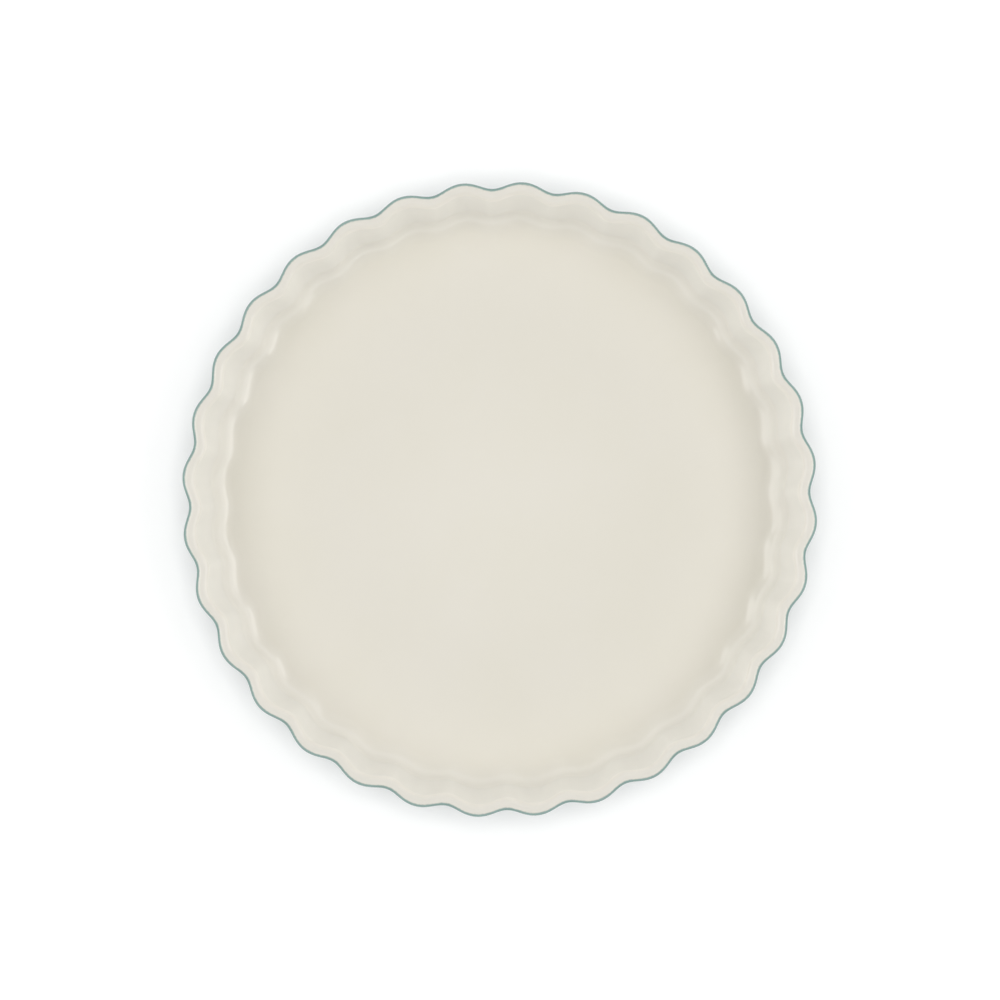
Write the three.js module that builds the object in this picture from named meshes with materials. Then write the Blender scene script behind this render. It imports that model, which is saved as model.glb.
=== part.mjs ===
// A fluted stoneware tart dish: one fired clay body under three coats of glaze.
// Cream glaze lines the inside and the top of the lip, teal glaze covers the outer wall up to the lip's outer
// corner, and a teal disc fills the underside within the foot ring, which stays bare clay.
// Units are millimetres, +Z is up, and the origin is at the centre of the plane that the foot ring stands on.
import * as THREE from "three";

// Driving dimensions
const RIM_DIAMETER = 283; // across opposite lobes of the glazed rim
const HEIGHT = 40; // from the table to the top of the glazed lip
const FLUTE_COUNT = 32;
const RIM_FLUTE_DEPTH = 3.3; // from lobe to valley at the rim
const BASE_FLUTE_DEPTH = 2.1; // from lobe to valley where the wall meets the floor
const LOBE_FULLNESS = 0.065; // share of second harmonic that broadens the lobes and narrows the valleys
const WALL_THICKNESS = 5; // clay alone
const FLOOR_THICKNESS = 6; // clay alone
const WALL_DRAFT = 11.5; // degrees that the wall leans outwards
const FLOOR_FILLET = 10; // inside, between the floor and the wall
const BASE_CORNER = 12; // outside, between the wall and the underside
const LIP_CORNER = 2; // both edges of the clay lip
const GLAZE_THICKNESS = 0.4;
const COLOUR_LINE_ANGLE = 55; // degrees above level, on the lip's outer corner, where teal meets cream
const FOOT_INSET = 4; // from the underside's flat edge to the foot ring
const FOOT_WIDTH = 6;
const FOOT_HEIGHT = 2;
const FOOT_GLAZE_SETBACK = 1; // bare clay left beside the foot ring

// Facets of the round forms
const STEPS_PER_FLUTE = 6;
const FILLET_STEPS = 3;
const LIP_STEPS = 2;

// Colours and finishes
const STONEWARE = { color: 0xd9cdb8, roughness: 0.85, metalness: 0 };
const CREAM_GLAZE = { color: 0xe3dfd4, roughness: 0.18, metalness: 0 };
const TEAL_GLAZE = { color: 0x809c96, roughness: 0.2, metalness: 0 };

// Levels and directions of the section, which lies in a plane of radius and height
const draft = THREE.MathUtils.degToRad(WALL_DRAFT);
const straightUp = Math.PI / 2;
const intoDish = Math.PI - draft; // direction that the inner wall faces
const outOfDish = -draft; // direction that the outer wall faces
const colourLine = THREE.MathUtils.degToRad(COLOUR_LINE_ANGLE);
const underside = FOOT_HEIGHT;
const floorTop = underside + FLOOR_THICKNESS;
const lipTop = HEIGHT - GLAZE_THICKNESS;
const lipCorner = Math.min(LIP_CORNER, 0.45 * WALL_THICKNESS); // leaves a flat between the lip's two corners
const rimLevel = lipTop - lipCorner; // where the rim is widest

// The rim's mean radius, of which the lobes stand proud and the valleys fall short
const rimRadius = RIM_DIAMETER / 2 - (RIM_FLUTE_DEPTH / 2) * (1 - LOBE_FULLNESS);

// Centres of the section's four arcs, each placed by its height and by its depth behind the outer wall's face
const outerLip = new THREE.Vector2(rimRadius - GLAZE_THICKNESS - lipCorner, rimLevel);
const behindWall = (depth, height) =>
  new THREE.Vector2(
    outerLip.x + (lipCorner - depth + (height - rimLevel) * Math.sin(draft)) / Math.cos(draft),
    height,
  );
const innerLip = behindWall(WALL_THICKNESS - lipCorner, rimLevel);
const floorFillet = behindWall(WALL_THICKNESS + FLOOR_FILLET, floorTop + FLOOR_FILLET);
const baseCorner = behindWall(BASE_CORNER, underside + BASE_CORNER);

// The foot ring stands inside the underside's narrowest flat edge.
const footOuter = baseCorner.x - BASE_FLUTE_DEPTH / 2 - FOOT_INSET;
const footInner = footOuter - FOOT_WIDTH;

// Half the flutes' depth at a height: it grows evenly from the floor to the rim.
const fluteReach = (height) =>
  THREE.MathUtils.mapLinear(
    THREE.MathUtils.clamp(height, floorTop, rimLevel),
    floorTop,
    rimLevel,
    BASE_FLUTE_DEPTH / 2,
    RIM_FLUTE_DEPTH / 2,
  );

// A point of the section: its mean radius, its height and the reach of the flutes there
const round = (radius, height) => ({ radius, height, reach: 0 });
const fluted = (radius, height) => ({ radius, height, reach: fluteReach(height) });

// Points on an arc of the section, named by the direction that the surface faces at its two ends
function arc(centre, radius, from, to, steps) {
  return Array.from({ length: steps + 1 }, (_, step) => {
    const angle = THREE.MathUtils.lerp(from, to, step / steps);
    return fluted(centre.x + radius * Math.cos(angle), centre.y + radius * Math.sin(angle));
  });
}

// The dish's two sides, as far off the clay as the coat laid on them: the outside from the underside up to the
// colour line, and the inside from there over the lip and down to the floor
const wallOutside = (coat) => [
  ...arc(baseCorner, BASE_CORNER + coat, -straightUp, outOfDish, FILLET_STEPS),
  ...arc(outerLip, lipCorner + coat, 0, colourLine, LIP_STEPS),
];
const lipTopAndInside = (coat) => [
  ...arc(outerLip, lipCorner + coat, colourLine, straightUp, 1),
  ...arc(innerLip, lipCorner + coat, straightUp, intoDish, LIP_STEPS),
  ...arc(floorFillet, coat - FLOOR_FILLET, intoDish, straightUp, FILLET_STEPS),
];

// How far a surface stands in or out at a place in its flute, from -1 in a valley to 1 on a lobe
const fluteWave = (angle) => Math.cos(angle) - LOBE_FULLNESS * Math.cos(2 * angle);

// A ring of vertices around the axis, or the single vertex of a point on the axis
function ringOf(point, segments) {
  if (point.radius === 0) return [new THREE.Vector3(0, 0, point.height)];
  return Array.from({ length: segments }, (_, step) => {
    const turn = (2 * Math.PI * step) / segments;
    const radius = point.radius + point.reach * fluteWave(FLUTE_COUNT * turn);
    return new THREE.Vector3(radius * Math.cos(turn), radius * Math.sin(turn), point.height);
  });
}

// Triangles between two rings. Each quad is split along its shorter diagonal, so that two coats that share a
// surface split it alike.
function band(first, second) {
  const triangles = [];
  const segments = Math.max(first.length, second.length);
  for (let step = 0; step < segments; step++) {
    const next = (step + 1) % segments;
    const [a, b] = first.length === 1 ? [first[0], first[0]] : [first[step], first[next]];
    const [c, d] = second.length === 1 ? [second[0], second[0]] : [second[step], second[next]];
    if (a === b) triangles.push(a, d, c);
    else if (c === d) triangles.push(a, b, c);
    else if (a.distanceToSquared(d) < b.distanceToSquared(c)) triangles.push(a, b, d, a, d, c);
    else triangles.push(a, b, c, b, d, c);
  }
  return triangles;
}

// A closed solid from a section that runs anticlockwise, from the axis back to the axis or round to its start
function turned(section) {
  const rings = section.map((point) => ringOf(point, FLUTE_COUNT * STEPS_PER_FLUTE));
  const meetsAxis = section[0].radius === 0;
  const bands = rings.slice(1).map((ring, index) => band(rings[index], ring));
  if (!meetsAxis) bands.push(band(rings.at(-1), rings[0]));
  return new THREE.BufferGeometry().setFromPoints(bands.flat());
}

function piece(name, section, finish) {
  const geometry = turned(section);
  geometry.computeVertexNormals();
  const mesh = new THREE.Mesh(geometry, new THREE.MeshStandardMaterial(finish));
  mesh.name = name;
  return mesh;
}

// The fired clay: underside, foot ring, outer wall, lip, inner wall and floor
const stonewareBody = piece(
  "stoneware_body",
  [
    round(0, underside),
    round(footInner, underside),
    round(footInner, 0),
    round(footOuter, 0),
    round(footOuter, underside),
    ...wallOutside(0),
    ...lipTopAndInside(0).slice(1),
    round(0, floorTop),
  ],
  STONEWARE,
);

// The cream coat: out along the clay floor and up over the lip, then back on the glaze's own surface
const innerGlaze = piece(
  "inner_glaze",
  [
    round(0, floorTop),
    ...lipTopAndInside(0).reverse(),
    ...lipTopAndInside(GLAZE_THICKNESS),
    round(0, floorTop + GLAZE_THICKNESS),
  ],
  CREAM_GLAZE,
);

// The teal coat on the wall: from beside the foot ring up to the colour line, then back down on the clay
const glazeStart = footOuter + FOOT_GLAZE_SETBACK;
const outerGlaze = piece(
  "outer_glaze",
  [
    round(glazeStart, underside - GLAZE_THICKNESS),
    ...wallOutside(GLAZE_THICKNESS),
    ...wallOutside(0).reverse(),
    round(glazeStart, underside),
  ],
  TEAL_GLAZE,
);

// The teal disc under the floor, inside the foot ring
const discRadius = footInner - FOOT_GLAZE_SETBACK;
const undersideGlaze = piece(
  "underside_glaze",
  [
    round(0, underside - GLAZE_THICKNESS),
    round(discRadius, underside - GLAZE_THICKNESS),
    round(discRadius, underside),
    round(0, underside),
  ],
  TEAL_GLAZE,
);

const tartDish = new THREE.Group();
tartDish.name = "tart_dish";
tartDish.add(stonewareBody, innerGlaze, outerGlaze, undersideGlaze);

export default tartDish;
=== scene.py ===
"""A fluted stoneware tart dish, dressed for a studio photograph taken from straight above.

One fired clay body carries three coats of glaze: cream on the inside and over the lip, teal on the outer
wall up to the lip's outer corner, and a teal disc inside the bare foot ring. Every piece is a section of
radius and height that is carried round the dish's axis while the flutes push it in and out. Lengths are
metres, and angles are radians except where a softbox is placed.
"""

import logging
import math
from abc import ABC, abstractmethod
from dataclasses import dataclass
from enum import Enum
from typing import ClassVar

import bpy
import numpy as np
import numpy.typing as npt
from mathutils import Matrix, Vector

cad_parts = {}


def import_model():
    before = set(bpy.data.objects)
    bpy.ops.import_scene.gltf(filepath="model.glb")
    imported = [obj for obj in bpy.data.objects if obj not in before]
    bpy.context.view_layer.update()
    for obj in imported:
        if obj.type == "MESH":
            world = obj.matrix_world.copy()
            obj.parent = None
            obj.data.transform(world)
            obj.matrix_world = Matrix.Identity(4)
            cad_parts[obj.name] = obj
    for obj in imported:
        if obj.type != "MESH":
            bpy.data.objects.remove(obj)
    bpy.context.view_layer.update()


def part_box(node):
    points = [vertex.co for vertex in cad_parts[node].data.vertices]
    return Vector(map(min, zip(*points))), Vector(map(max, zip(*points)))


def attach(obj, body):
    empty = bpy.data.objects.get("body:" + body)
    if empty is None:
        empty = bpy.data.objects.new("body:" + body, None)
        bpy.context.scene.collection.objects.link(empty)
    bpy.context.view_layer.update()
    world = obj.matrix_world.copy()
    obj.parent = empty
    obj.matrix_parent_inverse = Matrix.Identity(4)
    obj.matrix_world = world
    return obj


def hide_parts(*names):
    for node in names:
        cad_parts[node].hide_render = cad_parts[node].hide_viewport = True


Array = npt.NDArray[np.float64]
Colour = tuple[float, float, float]
Point = tuple[float, float]
Socket = bpy.types.NodeSocket

LOG = logging.getLogger("tart_dish")
FULL_TURN = 2 * math.pi
STRAIGHT_UP = math.pi / 2
MM = 0.001

SMALL_ARC_STEPS = 5
# A wiped edge's wander is a sum of sines: each one's share, its count round the dish and its phase.
WANDER_SINES = ((0.5, 5, 0.7), (0.3, 13, 2.1), (0.2, 29, 4.0))

# The middle of a noise's values, and the stretch that holds nearly all of them.
NOISE_MIDDLE = (0.35, 0.65)
NOISE_SPAN = (0.3, 0.7)
# Blotches in a metre of a glaze's uneven gloss and of its ripples.
GLOSS_SCALE = 140
RIPPLE_SCALE = 170
# The Mix node's colour sockets, which share their names with its sockets for other kinds of value.
MIX_FIRST, MIX_SECOND, MIX_RESULT = 6, 7, 2


class Closing(Enum):
    """How a section is closed before it is carried round the axis."""

    ON_AXIS = "starts and ends on the axis"
    AS_LOOP = "returns to its own start"


class Slot(Enum):
    """The record's material slots."""

    STONEWARE = "stoneware"
    CREAM_GLAZE = "cream_glaze"
    TEAL_GLAZE = "teal_glaze"


class Mark(Enum):
    """What a piece's points carry for its finish to read."""

    LOBE = "lobe"
    RISE = "rise"
    # Thin glaze and painted shade over the lip.
    LIP_THIN_AND_SHADED = "lip"
    LINE = "line"


def linear(red: int, green: int, blue: int) -> Colour:
    """Turn a display colour into the linear one that shaders take.

    Args:
        red, green, blue: the display colour, each from 0 to 255.

    Returns:
        The linear colour, by the sRGB curve: the 2.4th power above the toe and a straight line in it.
    """
    display = np.array([red, green, blue]) / 255
    curve = ((display + 0.055) / 1.055) ** 2.4
    return tuple(float(value) for value in np.where(display > 0.04045, curve, display / 12.92))


@dataclass(frozen=True)
class Flutes:
    """The wave that runs round the wall, shallow at the floor and deep at the rim."""

    base_level: float
    rim_level: float
    count: int = 32
    base_depth: float = 2.1 * MM
    rim_depth: float = 3.3 * MM
    lobe_fullness: float = 0.065

    def wave(self, turn: Array) -> Array:
        """Give the wave's height at each turn.

        Args:
            turn: angles round the axis.

        Returns:
            The cosine of the flutes' angle less a share of the cosine of twice that angle, which is near 1
            on a lobe and -1 in a valley, broad on the lobes and narrow in the valleys.
        """
        angle = self.count * turn
        return np.cos(angle) - self.lobe_fullness * np.cos(2 * angle)

    def reach(self, height: Array) -> Array:
        """Give how far the wave moves the wall at each height.

        Args:
            height: heights above the table.

        Returns:
            Half the flutes' depth, which grows evenly from the floor to the rim and is constant past both.
        """
        levels = [self.base_level, self.rim_level]
        return np.interp(height, levels, [self.base_depth / 2, self.rim_depth / 2])


@dataclass(frozen=True)
class SectionSteps:
    """How many steps each stretch of the section takes."""

    base: int = 14
    outer_wall: int = 14
    outer_lip: int = 12
    crown: int = 5
    lip_top: int = 3
    inner_lip: int = 14
    inner_wall: int = 12
    fillet: int = 16
    floor: int = 12
    underside: int = 10


@dataclass(frozen=True)
class DishSection:
    """The dish cut through its axis: clay surfaces, and the glaze that lies a coat's thickness off them.

    A section is an array with a row for each point: its mean radius, its height, the flutes' reach there, and
    how much of the glaze edge's wander it takes, from 0 to 1.
    """

    rim_lobe_radius: float
    lip_top: float
    coat: float
    floor_top: float
    underside: float
    underside_glaze_radius: float
    wall: float = 5 * MM
    draft: float = math.radians(11.5)
    lip_corner: float = 2 * MM
    floor_fillet: float = 10 * MM
    base_corner: float = 12 * MM
    colour_line: float = math.radians(55)
    foot_width: float = 6 * MM
    foot_glaze_setback: float = 1 * MM
    foot_edge: float = 0.8 * MM
    foot_root: float = 0.5 * MM
    steps: SectionSteps = SectionSteps()

    @classmethod
    def from_frame(cls) -> "DishSection":
        """Read the dish's sizes off the boxes of the frame's nodes.

        Returns:
            The section with those sizes, and with its own for what the boxes don't show.
        """
        body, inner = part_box("stoneware_body"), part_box("inner_glaze")
        outer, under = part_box("outer_glaze"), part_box("underside_glaze")
        return cls(
            rim_lobe_radius=outer[1].x,
            lip_top=body[1].z,
            coat=inner[1].z - body[1].z,
            floor_top=inner[0].z,
            underside=under[1].z,
            underside_glaze_radius=under[1].x,
        )

    @property
    def rim_level(self) -> float:
        """The height at which the rim is widest."""
        return self.lip_top - self.lip_corner

    @property
    def flutes(self) -> Flutes:
        """The flutes, from the floor to the rim."""
        return Flutes(base_level=self.floor_top, rim_level=self.rim_level)

    @property
    def rim_radius(self) -> float:
        """The rim's mean radius, of which lobes stand proud and valleys fall short."""
        flutes = self.flutes
        return self.rim_lobe_radius - flutes.rim_depth / 2 * (1 - flutes.lobe_fullness)

    @property
    def foot_inner(self) -> float:
        """The foot ring's inner radius."""
        return self.underside_glaze_radius + self.foot_glaze_setback

    @property
    def foot_outer(self) -> float:
        """The foot ring's outer radius."""
        return self.foot_inner + self.foot_width

    def behind_wall(self, depth: float, height: float) -> Point:
        """Place an arc's centre behind the clay's outer face.

        Args:
            depth: distance behind the leaning outer face, square to it.
            height: the centre's height.

        Returns:
            The centre's radius and height. The face touches the lip's outer corner, so the radius is that
            corner's centre, moved by the depths' difference and by the lean over the height between the two.
        """
        corner = self.rim_radius - self.coat - self.lip_corner
        lean = (height - self.rim_level) * math.sin(self.draft)
        return corner + (self.lip_corner - depth + lean) / math.cos(self.draft), height

    @property
    def outer_lip_centre(self) -> Point:
        """Centre of the lip's outer corner."""
        return self.behind_wall(self.lip_corner, self.rim_level)

    @property
    def inner_lip_centre(self) -> Point:
        """Centre of the lip's inner corner."""
        return self.behind_wall(self.wall - self.lip_corner, self.rim_level)

    @property
    def fillet_centre(self) -> Point:
        """Centre of the fillet between floor and wall."""
        return self.behind_wall(self.wall + self.floor_fillet, self.floor_top + self.floor_fillet)

    @property
    def base_centre(self) -> Point:
        """Centre of the corner between wall and underside."""
        return self.behind_wall(self.base_corner, self.underside + self.base_corner)

    def fluted(self, radius: Array, height: Array) -> Array:
        """Rows of points that the flutes move, from their radii and heights."""
        return np.column_stack([radius, height, self.flutes.reach(height), np.zeros_like(radius)])

    def arc(self, centre: Point, radius: float, start: float, end: float, steps: int) -> Array:
        """Lay points on an arc of the section.

        Args:
            centre: the arc's centre, as radius and height.
            radius: the arc's radius, negative on a hollow arc.
            start, end: directions that the surface faces at the arc's two ends.
            steps: number of steps between the ends.

        Returns:
            Rows of fluted points at the centre plus the arc's radius along each direction.
        """
        facing = np.linspace(start, end, steps + 1)
        return self.fluted(centre[0] + radius * np.cos(facing), centre[1] + radius * np.sin(facing))

    def outside(self, coat: float) -> Array:
        """Follow the outer side from the underside's edge up to the colour line.

        Args:
            coat: distance off the clay.

        Returns:
            Rows of points round the base corner, up the straight wall and onto the lip's outer corner.
        """
        steps, corner = self.steps, self.lip_corner + coat
        base = self.arc(self.base_centre, self.base_corner + coat, -STRAIGHT_UP, -self.draft, steps.base)
        lip = self.arc(self.outer_lip_centre, corner, -self.draft, self.colour_line, steps.outer_lip)
        return np.vstack([base, between(base[-1], lip[0], steps.outer_wall), lip])

    def inside(self, coat: float) -> Array:
        """Follow the inner side from the colour line over the lip and down to the floor.

        Args:
            coat: distance off the clay.

        Returns:
            Rows of points over the lip, down the straight wall, round the fillet and in across the floor.
        """
        steps, into_dish = self.steps, math.pi - self.draft
        corner, hollow = self.lip_corner + coat, coat - self.floor_fillet
        crown = self.arc(self.outer_lip_centre, corner, self.colour_line, STRAIGHT_UP, steps.crown)
        lip = self.arc(self.inner_lip_centre, corner, STRAIGHT_UP, into_dish, steps.inner_lip)
        fillet = self.arc(self.fillet_centre, hollow, into_dish, STRAIGHT_UP, steps.fillet)
        lip_top = between(crown[-1], lip[0], steps.lip_top)
        wall = between(lip[-1], fillet[0], steps.inner_wall)
        return np.vstack([crown, lip_top, lip, wall, fillet, self.floor(fillet[-1], steps.floor)])

    def floor(self, edge: Array, rings: int) -> Array:
        """Lay round rings on the flat floor inside its edge.

        Args:
            edge: the floor's outermost row.
            rings: how many rings to lay.

        Returns:
            Rows at evenly smaller radii, on which the flutes fade with the cube of the radius.
        """
        share = np.linspace(1, 0, rings + 2)[1:-1]
        return edge * np.column_stack([share, np.ones(rings), share**3, np.zeros(rings)])

    def foot_ring(self) -> Array:
        """Follow the bare foot ring from its inner root round to its outer root.

        Returns:
            Rows of unfluted points: a hollow root and a rounded edge and, across the flat that the dish
            stands on, the same outside.
        """
        root, edge = self.foot_root, self.foot_edge
        inner_root = quarter((self.foot_inner - root, self.underside - root), root, STRAIGHT_UP, 0)
        inner_edge = quarter((self.foot_inner + edge, edge), edge, math.pi, 3 * STRAIGHT_UP)
        outer_edge = quarter((self.foot_outer - edge, edge), edge, -STRAIGHT_UP, 0)
        outer_root = quarter((self.foot_outer + root, self.underside - root), root, math.pi, STRAIGHT_UP)
        return np.vstack([inner_root, inner_edge, outer_edge, outer_root])


def between(first: Array, last: Array, steps: int) -> Array:
    """Points on the straight line between two rows, without its ends.

    Args:
        first, last: the rows at the line's ends.
        steps: number of steps between the ends.

    Returns:
        The rows in between, each an even mix of the ends.
    """
    share = np.linspace(0, 1, steps + 1)[1:-1, None]
    return first * (1 - share) + last * share


def quarter(centre: Point, radius: float, start: float, end: float, wander: float = 0) -> Array:
    """Points on a small unfluted arc.

    Args:
        centre: the arc's centre, as radius and height.
        radius: the arc's radius.
        start, end: directions from the centre to the arc's two ends.
        wander: how much of the glaze edge's wander the points take.

    Returns:
        Rows at the centre plus the radius along each direction.
    """
    angle = np.linspace(start, end, SMALL_ARC_STEPS + 1)
    across, up = centre[0] + radius * np.cos(angle), centre[1] + radius * np.sin(angle)
    return np.column_stack([across, up, np.zeros_like(angle), np.full_like(angle, wander)])


def on_axis(height: float) -> Array:
    """A section's row on the axis."""
    return np.array([[0, height, 0, 0]])


@dataclass(frozen=True)
class Sweep:
    """A section carried round the axis as one closed mesh."""

    section: Array
    closing: Closing
    flutes: Flutes
    steps_per_flute: int = 24
    wander: float = 0.3 * MM
    sharp_edge: float = math.radians(40)

    @property
    def turn(self) -> Array:
        """The angles at which the section stands round the axis."""
        return np.linspace(0, FULL_TURN, self.flutes.count * self.steps_per_flute, endpoint=False)

    @property
    def rings(self) -> Array:
        """The rows of the section that stand off the axis."""
        return self.section[1:-1] if self.closing is Closing.ON_AXIS else self.section

    def edge_wander(self) -> Array:
        """A slow uneven wave round the dish, as a wiped edge of glaze has: a sum of sines."""
        share, count, phase = np.array(WANDER_SINES).T[:, :, None]
        return np.sum(share * np.sin(count * self.turn + phase), axis=0)

    def points(self) -> Array:
        """Work out every point of the mesh.

        Returns:
            Points ring by ring, each at its row's radius plus the row's reach times the flutes' wave and the
            row's share of the wandering edge, turned to its angle. Where the section ends on the axis, its
            two points there come last.
        """
        turn = self.turn
        radius, height, reach, share = (column[:, None] for column in self.rings.T)
        moved = radius + reach * self.flutes.wave(turn) + share * self.wander * self.edge_wander()
        level = np.broadcast_to(height, moved.shape)
        ring_points = np.stack([moved * np.cos(turn), moved * np.sin(turn), level], axis=-1).reshape(-1, 3)
        if self.closing is Closing.AS_LOOP:
            return ring_points
        poles = np.array([[0, 0, self.section[0, 1]], [0, 0, self.section[-1, 1]]])
        return np.vstack([ring_points, poles])

    def faces(self) -> list[list[int]]:
        """Join the points into faces that point outwards.

        Returns:
            Quads from each ring to the next, with a fan of triangles from each axis point or, in a loop,
            quads from the last ring to the first.
        """
        count, around = len(self.rings), len(self.turn)
        here = np.arange(around)
        there = np.roll(here, -1)
        lower = np.arange(count if self.closing is Closing.AS_LOOP else count - 1)[:, None] * around
        upper = (lower + around) % (count * around)
        corners = [lower + here, lower + there, upper + there, upper + here]
        quads = np.stack(corners, axis=-1).reshape(-1, 4).tolist()
        if self.closing is Closing.AS_LOOP:
            return quads
        last = (count - 1) * around
        start_pole = np.full(around, count * around)
        first_fan = np.stack([start_pole, there, here], axis=-1).tolist()
        last_fan = np.stack([last + here, last + there, start_pole + 1], axis=-1).tolist()
        return quads + first_fan + last_fan

    def mesh(self, name: str, marks: dict[Mark, Array]) -> bpy.types.Mesh:
        """Make the mesh, smooth except at its glaze edges.

        Args:
            name: the mesh's name.
            marks: values for each point that the finish reads.

        Returns:
            The finished mesh.
        """
        made = bpy.data.meshes.new(name)
        made.from_pydata(self.points().tolist(), [], self.faces())
        made.shade_smooth()
        made.set_sharp_from_angle(angle=self.sharp_edge)
        for mark, values in marks.items():
            layer = made.attributes.new(mark.value, "FLOAT", "POINT")
            layer.data.foreach_set("value", values.astype(np.float32))
        made.validate()
        return made


class NodeBench:
    """A node tree, with short ways to add nodes and join them."""

    def __init__(self, tree: bpy.types.NodeTree) -> None:
        """Take up a tree."""
        self.tree = tree

    def add(self, kind: str, **settings: object) -> bpy.types.Node:
        """Add a node and set its properties.

        Args:
            kind: the node's type in Blender.
            settings: the properties' values by their names.

        Returns:
            The node.
        """
        node = self.tree.nodes.new(kind)
        for key, value in settings.items():
            setattr(node, key, value)
        return node

    def feed(self, entry: Socket, value: float | Colour | Socket) -> None:
        """Give an input what it takes.

        Args:
            entry: the input.
            value: a number or a linear colour to set, or an output to link.
        """
        if isinstance(value, Socket):
            self.tree.links.new(value, entry)
        else:
            entry.default_value = (*value, 1) if isinstance(value, tuple) else value

    def spread(
        self, value: Socket, low: float, high: float, to_low: float | Socket, to_high: float
    ) -> Socket:
        """Map a value's range onto another one and stop at its ends.

        Args:
            value: the value to map.
            low, high: the range it has.
            to_low, to_high: the range it gets.

        Returns:
            The mapped value.
        """
        node = self.add("ShaderNodeMapRange")
        ends = {"From Min": low, "From Max": high, "To Min": to_low, "To Max": to_high}
        for name, end in ends.items():
            self.feed(node.inputs[name], end)
        self.feed(node.inputs["Value"], value)
        return node.outputs["Result"]

    def maths(self, operation: str, first: Socket, second: Socket) -> Socket:
        """Put two values through one of the Math node's operations.

        Args:
            operation: the operation's name in Blender.
            first, second: the values.

        Returns:
            The operation's result.
        """
        node = self.add("ShaderNodeMath", operation=operation)
        self.feed(node.inputs[0], first)
        self.feed(node.inputs[1], second)
        return node.outputs["Value"]


class FinishBench(NodeBench):
    """A material round a Principled shader, with the patterns that glazes and clay need."""

    def __init__(self, name: str) -> None:
        """Start the material, with the shader on its output."""
        self.material = bpy.data.materials.new(name)
        self.material.use_nodes = True
        super().__init__(self.material.node_tree)
        self.shader = self.tree.nodes["Principled BSDF"]

    def noise(self, scale: float, detail: float = 2, roughness: float = 0.5) -> Socket:
        """Add noise in the dish's own space.

        Args:
            scale: blotches in a metre.
            detail: finer octaves on top of the first.
            roughness: how strong each finer octave is.

        Returns:
            The noise's value, from about 0 to 1.
        """
        noise = self.add("ShaderNodeTexNoise")
        self.feed(noise.inputs["Scale"], scale)
        self.feed(noise.inputs["Detail"], detail)
        self.feed(noise.inputs["Roughness"], roughness)
        self.feed(noise.inputs["Vector"], self.add("ShaderNodeTexCoord").outputs["Object"])
        return noise.outputs["Fac"]

    def mark(self, mark: Mark) -> Socket:
        """Read a value that the piece's points carry."""
        return self.add("ShaderNodeAttribute", attribute_name=mark.value).outputs["Fac"]

    def blend(self, share: Socket, first: Colour | Socket, second: Colour | Socket) -> Socket:
        """Mix two colours.

        Args:
            share: the second colour's share.
            first, second: linear colours, or sockets that give them.

        Returns:
            The mixed colour.
        """
        node = self.add("ShaderNodeMix", data_type="RGBA")
        self.feed(node.inputs["Factor"], share)
        self.feed(node.inputs[MIX_FIRST], first)
        self.feed(node.inputs[MIX_SECOND], second)
        return node.outputs[MIX_RESULT]

    def ripple(self, height: Socket, depth: float) -> None:
        """Raise the surface's shading by a height.

        Args:
            height: the height's pattern.
            depth: how deep the pattern's full range is.
        """
        bump = self.add("ShaderNodeBump")
        self.feed(bump.inputs["Strength"], 1)
        self.feed(bump.inputs["Distance"], depth)
        self.feed(bump.inputs["Height"], height)
        self.feed(self.shader.inputs["Normal"], bump.outputs["Normal"])

    def gloss(self, roughness: tuple[float, float], ripples: float) -> None:
        """Give a glaze its gloss, uneven in patches and softly rippled.

        Args:
            roughness: the least and the greatest roughness.
            ripples: how deep the ripples are.
        """
        patches = self.spread(self.noise(GLOSS_SCALE, detail=3), *NOISE_SPAN, *roughness)
        self.feed(self.shader.inputs["Roughness"], patches)
        self.ripple(self.noise(RIPPLE_SCALE, detail=1), ripples)


@dataclass(frozen=True)
class CreamGlaze:
    """Glossy cream glaze: faint clouds, painted lighter on the wall, darker on the lip from thin glaze and
    painted shade, teal along the colour line.
    """

    cream: Colour = linear(227, 223, 212)
    cloud: Colour = linear(226, 222, 210)
    # Painted light: the wall is painted lighter and less yellow than the floor, offsetting the shade and
    # yellow tint that light bounced between the cream surfaces gives it.
    wall: Colour = linear(228, 226, 219)
    # Partly thin glaze and partly painted shade: this darker lip tone also damps the lip top's extra sky
    # light and the glint along its inner corner.
    thin: Colour = linear(217, 213, 203)
    bleed: Colour = linear(129, 154, 148)
    cloud_scale: float = 22
    bleed_span: tuple[float, float] = (0.15 * MM, 0.65 * MM)
    bleed_share: float = 0.85
    fray_scale: float = 900
    fray: float = 0.12 * MM
    roughness: tuple[float, float] = (0.08, 0.14)
    ripples: float = 0.02 * MM
    ior: float = 1.6

    def material(self) -> bpy.types.Material:
        """Make the glaze's material.

        Returns:
            A material whose colour drifts in soft clouds, is painted lighter up the wall with the rise mark
            to offset shade, darkens with the lip mark as thin glaze and painted shade, and turns to teal
            within a fraction of a millimetre of the frayed colour line, over a faintly rippled gloss.
        """
        bench = FinishBench("cream_glaze")
        drift = bench.spread(bench.noise(self.cloud_scale, detail=3), *NOISE_MIDDLE, 0, 1)
        clouds = bench.blend(drift, self.cream, self.cloud)
        # Painted lighter tone up the wall, offsetting shade.
        wall = bench.blend(bench.mark(Mark.RISE), clouds, self.wall)
        # Darker lip: thin glaze and painted shade.
        lip = bench.blend(bench.mark(Mark.LIP_THIN_AND_SHADED), wall, self.thin)
        fray = bench.spread(bench.noise(self.fray_scale), *NOISE_SPAN, -self.fray, self.fray)
        off_line = bench.maths("ADD", bench.mark(Mark.LINE), fray)
        bled = bench.blend(bench.spread(off_line, *self.bleed_span, self.bleed_share, 0), lip, self.bleed)
        bench.feed(bench.shader.inputs["Base Color"], bled)
        bench.shader.inputs["IOR"].default_value = self.ior
        bench.gloss(self.roughness, self.ripples)
        return bench.material


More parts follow.
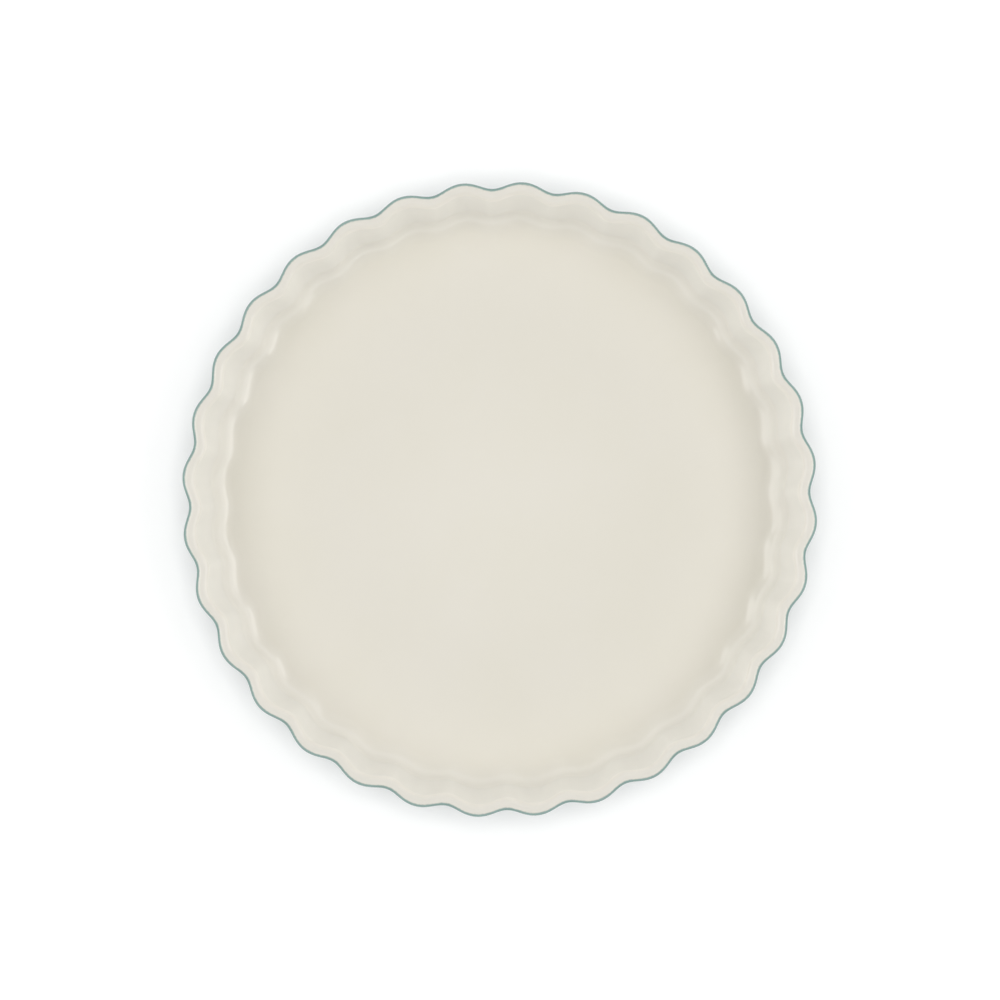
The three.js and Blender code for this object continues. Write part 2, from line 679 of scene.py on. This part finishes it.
@dataclass(frozen=True)
class TealGlaze:
    """Glossy teal glaze, deep where it pools in valleys and at the foot and pale where it thins on lobes."""

    thin: Colour = linear(127, 153, 147)
    full: Colour = linear(111, 140, 134)
    pooled: Colour = linear(93, 123, 118)
    lobe_share: float = 0.55
    cloud_scale: float = 60
    cloud_share: float = 0.12
    pool_top: float = 0.45
    roughness: tuple[float, float] = (0.16, 0.26)
    ripples: float = 0.04 * MM

    def material(self) -> bpy.types.Material:
        """Make the glaze's material.

        Returns:
            A material that deepens with the rise mark from the wall's middle down to its foot, and thins with
            the lobe mark, broken by soft clouds, over a rippled gloss.
        """
        bench = FinishBench("teal_glaze")
        lobes = bench.spread(bench.mark(Mark.LOBE), -1, 1, 0, self.lobe_share)
        clouds = bench.noise(self.cloud_scale, detail=4, roughness=0.6)
        drift = bench.spread(clouds, *NOISE_SPAN, -self.cloud_share, self.cloud_share)
        thinness = bench.spread(bench.maths("ADD", lobes, drift), 0, 1, 0, 1)
        rise = bench.spread(bench.mark(Mark.RISE), 0, self.pool_top, 0, 1)
        rising = bench.blend(rise, self.pooled, self.full)
        bench.feed(bench.shader.inputs["Base Color"], bench.blend(thinness, rising, self.thin))
        bench.gloss(self.roughness, self.ripples)
        return bench.material


@dataclass(frozen=True)
class BareClay:
    """Unglazed stoneware: matt, warm and fine grained, with small darker grains."""

    clay: Colour = linear(217, 205, 184)
    shade: Colour = linear(202, 187, 163)
    grain: Colour = linear(150, 130, 104)
    cloud_scale: float = 90
    fleck_scale: float = 1600
    fleck_span: tuple[float, float] = (0.66, 0.72)
    fleck_share: float = 0.6
    tooth_scale: float = 2200
    tooth_depth: float = 0.12 * MM
    roughness: tuple[float, float] = (0.72, 0.92)

    def material(self) -> bpy.types.Material:
        """Make the clay's material.

        Returns:
            A matt material of two clay tones in clouds, flecked with grains where a fine noise peaks, with a
            fine tooth to its surface.
        """
        bench = FinishBench("bare_clay")
        drift = bench.spread(bench.noise(self.cloud_scale, detail=4), *NOISE_MIDDLE, 0, 1)
        clouds = bench.blend(drift, self.clay, self.shade)
        flecks = bench.spread(bench.noise(self.fleck_scale, detail=1), *self.fleck_span, 0, self.fleck_share)
        bench.feed(bench.shader.inputs["Base Color"], bench.blend(flecks, clouds, self.grain))
        tooth = bench.noise(self.tooth_scale, detail=3, roughness=0.65)
        bench.feed(bench.shader.inputs["Roughness"], bench.spread(tooth, *NOISE_SPAN, *self.roughness))
        bench.ripple(tooth, self.tooth_depth)
        return bench.material


@dataclass
class DishPiece(ABC):
    """One piece of the dish, which stands for the frame's node of the same name."""

    dish: DishSection
    material: bpy.types.Material
    node: ClassVar[str]
    slot: ClassVar[Slot]
    closing: ClassVar[Closing] = Closing.ON_AXIS

    @abstractmethod
    def section(self) -> Array:
        """The piece's section, anticlockwise with radius to the right and height upwards."""

    def marks(self, sweep: Sweep) -> dict[Mark, Array]:
        """Values for each point that the piece's finish reads: none unless a piece gives some."""
        return {}

    def build(self) -> bpy.types.Object:
        """Build the piece, dress it and give it to the frame.

        Returns:
            The piece's object.
        """
        sweep = Sweep(self.section(), self.closing, self.dish.flutes)
        mesh = sweep.mesh(f"{self.node}_surface", self.marks(sweep))
        mesh.materials.append(self.material)
        piece = bpy.data.objects.new(f"{self.node}_surface", mesh)
        bpy.context.collection.objects.link(piece)
        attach(piece, "root")
        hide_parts(self.node)
        LOG.info("%s: %d points, %d faces", piece.name, len(mesh.vertices), len(mesh.polygons))
        return piece


@dataclass
class StonewareBody(DishPiece):
    """The fired clay, of which only the foot ring and the narrow bare bands beside it show."""

    node: ClassVar[str] = "stoneware_body"
    slot: ClassVar[Slot] = Slot.STONEWARE

    def section(self) -> Array:
        """The clay: underside, foot ring, outer wall, lip, inner wall and floor."""
        dish = self.dish
        return np.vstack([
            on_axis(dish.underside),
            dish.foot_ring(),
            dish.outside(0),
            dish.inside(0)[1:],
            on_axis(dish.floor_top),
        ])


@dataclass
class InnerGlaze(DishPiece):
    """The cream coat on the floor, the inner wall and the lip.

    The lip's darkening, partly thin glaze and partly painted shade, is given at four climbs, from 0 at the
    rim's widest level to 1 on top.
    """

    node: ClassVar[str] = "inner_glaze"
    slot: ClassVar[Slot] = Slot.CREAM_GLAZE
    lip_climb: ClassVar[tuple[float, ...]] = (0.2, 0.6, 0.88, 1)
    # Thin glaze and painted shade: strongest on the lip's corners, where the inner corner's glint is damped,
    # and less on the flat top, whose extra sky light is damped.
    lip_thin_and_shade: ClassVar[tuple[float, ...]] = (0, 1, 1, 0.77)

    def section(self) -> Array:
        """The coat: out over the clay floor and up across the lip, then back on the glaze's own face."""
        dish = self.dish
        return np.vstack([
            on_axis(dish.floor_top),
            dish.inside(0)[::-1],
            dish.inside(dish.coat),
            on_axis(dish.floor_top + dish.coat),
        ])

    def marks(self, sweep: Sweep) -> dict[Mark, Array]:
        """Mark the rise onto the wall, the lip's thin coat and painted shade, and the distance to the colour
        line.

        Args:
            sweep: the piece's sweep.

        Returns:
            The rise, from 0 on the floor to 1 at the top of the fillet, by which the wall is painted lighter;
            the lip, from 0 on the wall to 1 where the coat breaks thin over the lip's corners and painted
            shade damps their light; and the distance in the section from where the two glazes meet, which for
            the two points on the axis is only given as far.
        """
        dish = self.dish
        radius, height = sweep.rings[:, 0], sweep.rings[:, 1]
        floor = dish.floor_top + dish.coat
        rise = np.interp(height, [floor, floor + dish.floor_fillet], [0, 1])
        climb = (height - dish.rim_level) / (dish.lip_corner + dish.coat)
        # Thin glaze and painted shade on the lip, strongest on its corners.
        lip = np.interp(climb, self.lip_climb, self.lip_thin_and_shade)
        meeting = dish.inside(dish.coat)[0]
        line = np.hypot(radius - meeting[0], height - meeting[1])
        around = len(sweep.turn)
        far = 1.0
        return {
            Mark.RISE: np.append(np.repeat(rise, around), [0, 0]),
            Mark.LIP_THIN_AND_SHADED: np.append(np.repeat(lip, around), [0, 0]),
            Mark.LINE: np.append(np.repeat(line, around), [far, far]),
        }


@dataclass
class OuterGlaze(DishPiece):
    """The teal coat on the outer wall, from a rounded edge beside the foot ring up to the colour line."""

    node: ClassVar[str] = "outer_glaze"
    slot: ClassVar[Slot] = Slot.TEAL_GLAZE
    closing: ClassVar[Closing] = Closing.AS_LOOP

    def section(self) -> Array:
        """Follow the coat round its lower edge, up its own face to the colour line and back down the clay.

        Returns:
            The section's rows, of which the lower edge's wander.
        """
        dish = self.dish
        start = dish.foot_outer + dish.foot_glaze_setback
        centre = (start + dish.coat, dish.underside)
        edge = quarter(centre, dish.coat, math.pi, 3 * STRAIGHT_UP, wander=1)
        return np.vstack([edge, dish.outside(dish.coat), dish.outside(0)[::-1]])

    def marks(self, sweep: Sweep) -> dict[Mark, Array]:
        """Mark the lobes and the rise from the underside to the lip.

        Args:
            sweep: the piece's sweep.

        Returns:
            The flutes' wave at each point, and each point's height as a share of the clay's.
        """
        dish = self.dish
        wave = np.broadcast_to(sweep.flutes.wave(sweep.turn), (len(sweep.rings), len(sweep.turn)))
        rise = (sweep.rings[:, 1] - dish.underside) / (dish.lip_top - dish.underside)
        return {Mark.LOBE: wave.ravel(), Mark.RISE: np.repeat(rise, len(sweep.turn))}


@dataclass
class UndersideGlaze(DishPiece):
    """The teal disc inside the foot ring."""

    node: ClassVar[str] = "underside_glaze"
    slot: ClassVar[Slot] = Slot.TEAL_GLAZE
    even_lobe: ClassVar[float] = -0.2
    even_rise: ClassVar[float] = 0.35

    def section(self) -> Array:
        """Follow the disc out across its lower face, round its edge and back along the clay.

        Returns:
            The section's rows, of which the edge's wander.
        """
        dish = self.dish
        centre = (dish.underside_glaze_radius - dish.coat, dish.underside)
        edge = quarter(centre, dish.coat, -STRAIGHT_UP, 0, wander=1)
        face = dish.floor(edge[0], dish.steps.underside)[::-1]
        return np.vstack([on_axis(dish.underside - dish.coat), face, edge, on_axis(dish.underside)])

    def marks(self, sweep: Sweep) -> dict[Mark, Array]:
        """Mark the disc as an even, fairly full coat."""
        count = len(sweep.points())
        return {Mark.LOBE: np.full(count, self.even_lobe), Mark.RISE: np.full(count, self.even_rise)}


class Beam(Enum):
    """What a softbox does for the dish."""

    LIGHT = "lights it and isn't mirrored in its gloss"
    GLINT = "is oval, and mirrored in its gloss alone"


@dataclass(frozen=True)
class Softbox:
    """A panel of soft light, placed by its bearing in the picture and its elevation, both in degrees."""

    name: str
    bearing: float
    elevation: float
    width: float
    height: float
    radiance: float
    beam: Beam
    distance: float = 3.2

    def build(self, roll: float, target: Vector) -> None:
        """Hang the light and aim it at the dish.

        Args:
            roll: the turn of the picture about the dish's axis.
            target: the point that the light faces.
        """
        bearing, rise = math.radians(self.bearing) + roll, math.radians(self.elevation)
        level = math.cos(rise)
        away = Vector((math.cos(bearing) * level, math.sin(bearing) * level, math.sin(rise)))
        lamp = bpy.data.lights.new(self.name, "AREA")
        oval = self.beam is Beam.GLINT
        lamp.shape = "ELLIPSE" if oval else "RECTANGLE"
        lamp.size, lamp.size_y = self.width, self.height
        area = self.width * self.height * (math.pi / 4 if oval else 1)
        lamp.energy = self.radiance * math.pi * area
        holder = bpy.data.objects.new(self.name, lamp)
        holder.location = target + away * self.distance
        holder.rotation_euler = away.to_track_quat("Z", "Y").to_euler()
        holder.visible_camera = False
        holder.visible_diffuse = self.beam is Beam.LIGHT
        holder.visible_glossy = self.beam is Beam.GLINT
        bpy.context.collection.objects.link(holder)
        LOG.info("light %s", self.name)


@dataclass(frozen=True)
class Studio:
    """A white table and room, soft lights on all four sides, and a camera that looks straight down."""

    dish: DishSection
    roll: float = math.radians(4.31)
    camera_height: float = 1.5
    rim_pixels: float = 314.7
    centre_pixel: tuple[float, float] = (499.72, 499.54)
    frame_pixels: int = 1000
    sensor: float = 36.0
    table_half: float = 4.0
    side_horizon: float = 1.81
    end_horizon: float = 1.58
    sky_fill: float = 0.42
    horizon_band: tuple[float, float] = (math.radians(17), math.radians(27))
    table_white: float = 0.9
    table_matt: float = 0.5
    table_glow: float = 0.57
    shadow_reach: float = 20 * MM
    # Each softbox's name, bearing, elevation, width, height, radiance and beam.
    softboxes: tuple[Softbox, ...] = (
        Softbox("left_light", 180, 52, 3.2, 1.13, 2.06, Beam.LIGHT),
        Softbox("right_light", 0, 52, 3.2, 1.13, 2.4, Beam.LIGHT),
        Softbox("top_light", 90, 72, 3.0, 1.13, 1.31, Beam.LIGHT),
        Softbox("bottom_light", 270, 72, 3.0, 1.13, 0.62, Beam.LIGHT),
        Softbox("left_glint", 180, 44, 2.1, 2.3, 1.5, Beam.GLINT),
        Softbox("right_glint", 0, 39, 3.5, 1.5, 1.85, Beam.GLINT),
    )

    def lens(self) -> float:
        """Give the lens at which the rim's mean radius covers its pixels.

        Returns:
            The focal length: the sensor's width over the frame's pixels, times the rim's pixels, times the
            distance to the rim over the rim's radius.
        """
        distance = self.camera_height - self.dish.rim_level
        return self.sensor / self.frame_pixels * self.rim_pixels * distance / self.dish.rim_radius

    def build_camera(self) -> None:
        """Stand the camera over the dish, turned and shifted so that the dish lies as in the photograph."""
        camera = bpy.data.cameras.new("camera")
        camera.sensor_width = self.sensor
        camera.lens = self.lens()
        camera.shift_x = 0.5 - self.centre_pixel[0] / self.frame_pixels
        camera.shift_y = self.centre_pixel[1] / self.frame_pixels - 0.5
        holder = bpy.data.objects.new("camera", camera)
        holder.location = (0, 0, self.camera_height)
        holder.rotation_euler = (0, 0, self.roll)
        bpy.context.collection.objects.link(holder)
        bpy.context.scene.camera = holder

    def build_world(self) -> None:
        """Surround the scene with a white room, dim above and bright low down, most of all at the sides."""
        world = bpy.data.worlds.new("white_room")
        world.use_nodes = True
        bench = NodeBench(world.node_tree)
        direction = bench.add("ShaderNodeSeparateXYZ")
        bench.feed(direction.inputs["Vector"], bench.add("ShaderNodeTexCoord").outputs["Generated"])
        endwards, climb = direction.outputs["Y"], direction.outputs["Z"]
        end_share = bench.maths("MULTIPLY", endwards, endwards)
        horizon = bench.spread(end_share, 0, 1, self.side_horizon, self.end_horizon)
        low, high = (math.sin(angle) for angle in self.horizon_band)
        background = bench.tree.nodes["Background"]
        background.inputs["Color"].default_value = (1, 1, 1, 1)
        bench.feed(background.inputs["Strength"], bench.spread(climb, low, high, horizon, self.sky_fill))
        bpy.context.scene.world = world

    def build_table(self) -> None:
        """Lay the white table, which shows as white but for the dish's shadow."""
        half = self.table_half
        mesh = bpy.data.meshes.new("table")
        corners = [(-half, -half, 0), (half, -half, 0), (half, half, 0), (-half, half, 0)]
        mesh.from_pydata(corners, [], [(0, 1, 2, 3)])
        mesh.materials.append(self.table_material())
        table = bpy.data.objects.new("table", mesh)
        bpy.context.collection.objects.link(table)

    def seen(self, bench: NodeBench) -> Socket:
        """Tell rays that show the background from rays that light the dish.

        Args:
            bench: the table's nodes.

        Returns:
            A value of 1 for camera, glossy and transmission rays, and 0 for the rest.
        """
        path = bench.add("ShaderNodeLightPath")
        glossy, through = path.outputs["Is Glossy Ray"], path.outputs["Is Transmission Ray"]
        mirrored = bench.maths("MAXIMUM", glossy, through)
        return bench.maths("MAXIMUM", path.outputs["Is Camera Ray"], mirrored)

    def table_material(self) -> bpy.types.Material:
        """Make the table's white.

        Returns:
            A matt white. For rays that show the background it is part matt and part glow, and the glow fades
            by ambient occlusion where the dish stands close, a painted contact shadow added to the real
            shadow in the matt part, so that the table is white out of the dish's shadow.
        """
        material = bpy.data.materials.new("table_white")
        material.use_nodes = True
        bench = NodeBench(material.node_tree)
        bench.tree.nodes.clear()
        seen = self.seen(bench)
        matt = bench.add("ShaderNodeBsdfDiffuse")
        bench.feed(matt.inputs["Color"], bench.spread(seen, 0, 1, self.table_white, self.table_matt))
        # Painted contact shadow: ambient occlusion dims the table's glow near the dish.
        openness = bench.add("ShaderNodeAmbientOcclusion")
        bench.feed(openness.inputs["Distance"], self.shadow_reach)
        shown = bench.maths("MULTIPLY", seen, openness.outputs["AO"])
        glow = bench.add("ShaderNodeEmission")
        bench.feed(glow.inputs["Strength"], bench.spread(shown, 0, 1, 0, self.table_glow))
        both = bench.add("ShaderNodeAddShader")
        bench.feed(both.inputs[0], matt.outputs["BSDF"])
        bench.feed(both.inputs[1], glow.outputs["Emission"])
        output = bench.add("ShaderNodeOutputMaterial")
        bench.feed(output.inputs["Surface"], both.outputs["Shader"])
        return material

    def build(self) -> None:
        """Set up the camera, the table, the white room and the lights."""
        bpy.context.scene.view_settings.view_transform = "Standard"
        self.build_camera()
        self.build_world()
        self.build_table()
        target = Vector((0, 0, self.dish.floor_top))
        for softbox in self.softboxes:
            softbox.build(self.roll, target)


def main() -> None:
    """Build the studio and the dish's four pieces around the frame."""
    logging.basicConfig(level=logging.INFO, format="%(name)s: %(message)s")
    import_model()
    dish = DishSection.from_frame()
    Studio(dish).build()
    teal = TealGlaze().material()
    StonewareBody(dish, BareClay().material()).build()
    InnerGlaze(dish, CreamGlaze().material()).build()
    OuterGlaze(dish, teal).build()
    UndersideGlaze(dish, teal).build()


if __name__ == "__main__":
    main()
